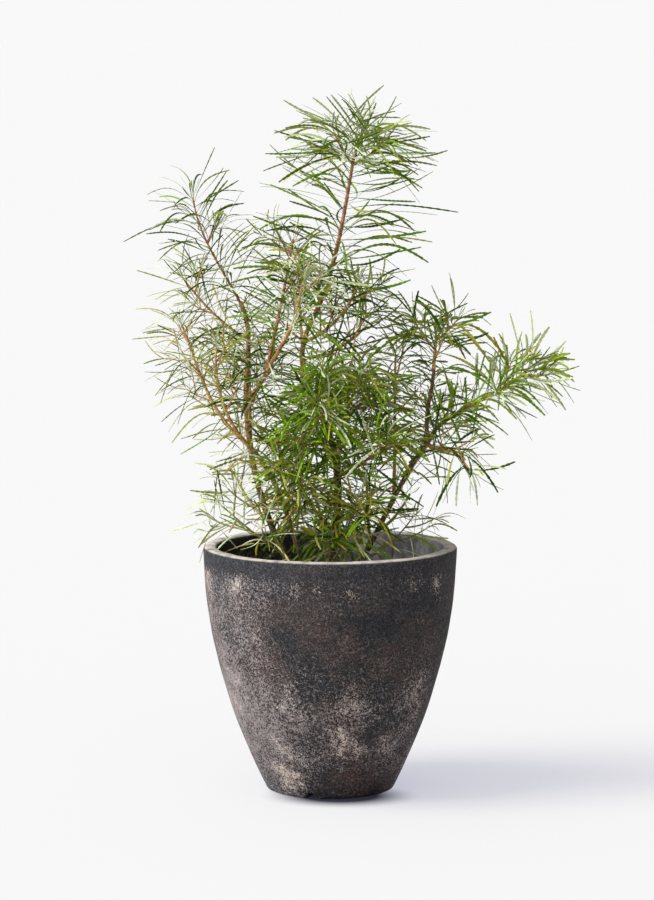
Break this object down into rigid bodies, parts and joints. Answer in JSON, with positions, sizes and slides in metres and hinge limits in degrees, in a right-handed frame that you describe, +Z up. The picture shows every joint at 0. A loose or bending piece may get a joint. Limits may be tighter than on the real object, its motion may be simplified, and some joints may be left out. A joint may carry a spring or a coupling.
{
  "type": "potted banksia",
  "caption": "Young narrow-leaved banksia with slender stems and long toothed leaves, growing in a round aged dark terracotta pot.",
  "frame": {"origin": "centre of the pot's flat underside", "axes": "+Z up, +Y towards the back, +X to the right of the side pictured"},
  "size_m": [0.5403, 0.3365, 0.8293],
  "materials": {
    "terracotta": "matt fired clay, aged nearly black, with worn beige patches",
    "soil": "rough, moist potting mix with bark chips",
    "bark": "matt brown bark with leaf scars",
    "leaf": "half-matt green leaves, paler beneath"
  },
  "bodies": {
    "root": {"pot": "terracotta", "soil": "soil", "trunk": "bark", "stem_left": "bark", "stem_left_front": "bark", "stem_right": "bark", "bough_leader": "bark", "bough_left_high": "bark", "bough_left_inner": "bark", "bough_right_low": "bark", "bough_right_high": "bark", "foliage_top": "leaf", "foliage_left_high": "leaf", "foliage_left_mid": "leaf", "foliage_left_low": "leaf", "foliage_left_inner": "leaf", "foliage_inner": "leaf", "foliage_upper": "leaf", "foliage_leader_front": "leaf", "foliage_leader_right": "leaf", "foliage_leader_back": "leaf", "foliage_front": "leaf", "foliage_front_mid": "leaf", "foliage_front_right": "leaf", "foliage_right_inner": "leaf", "foliage_right_high": "leaf", "foliage_right_tip": "leaf", "foliage_right_low": "leaf", "foliage_low_left": "leaf", "foliage_low_right": "leaf", "foliage_low_front": "leaf", "foliage_low_trunk": "leaf", "foliage_low_middle": "leaf", "foliage_low_inner": "leaf", "foliage_back": "leaf", "foliage_back_left": "leaf", "foliage_back_right": "leaf", "foliage_back_low": "leaf", "foliage_low_left_back": "leaf", "foliage_low_right_back": "leaf"}
  },
  "joints": []
}
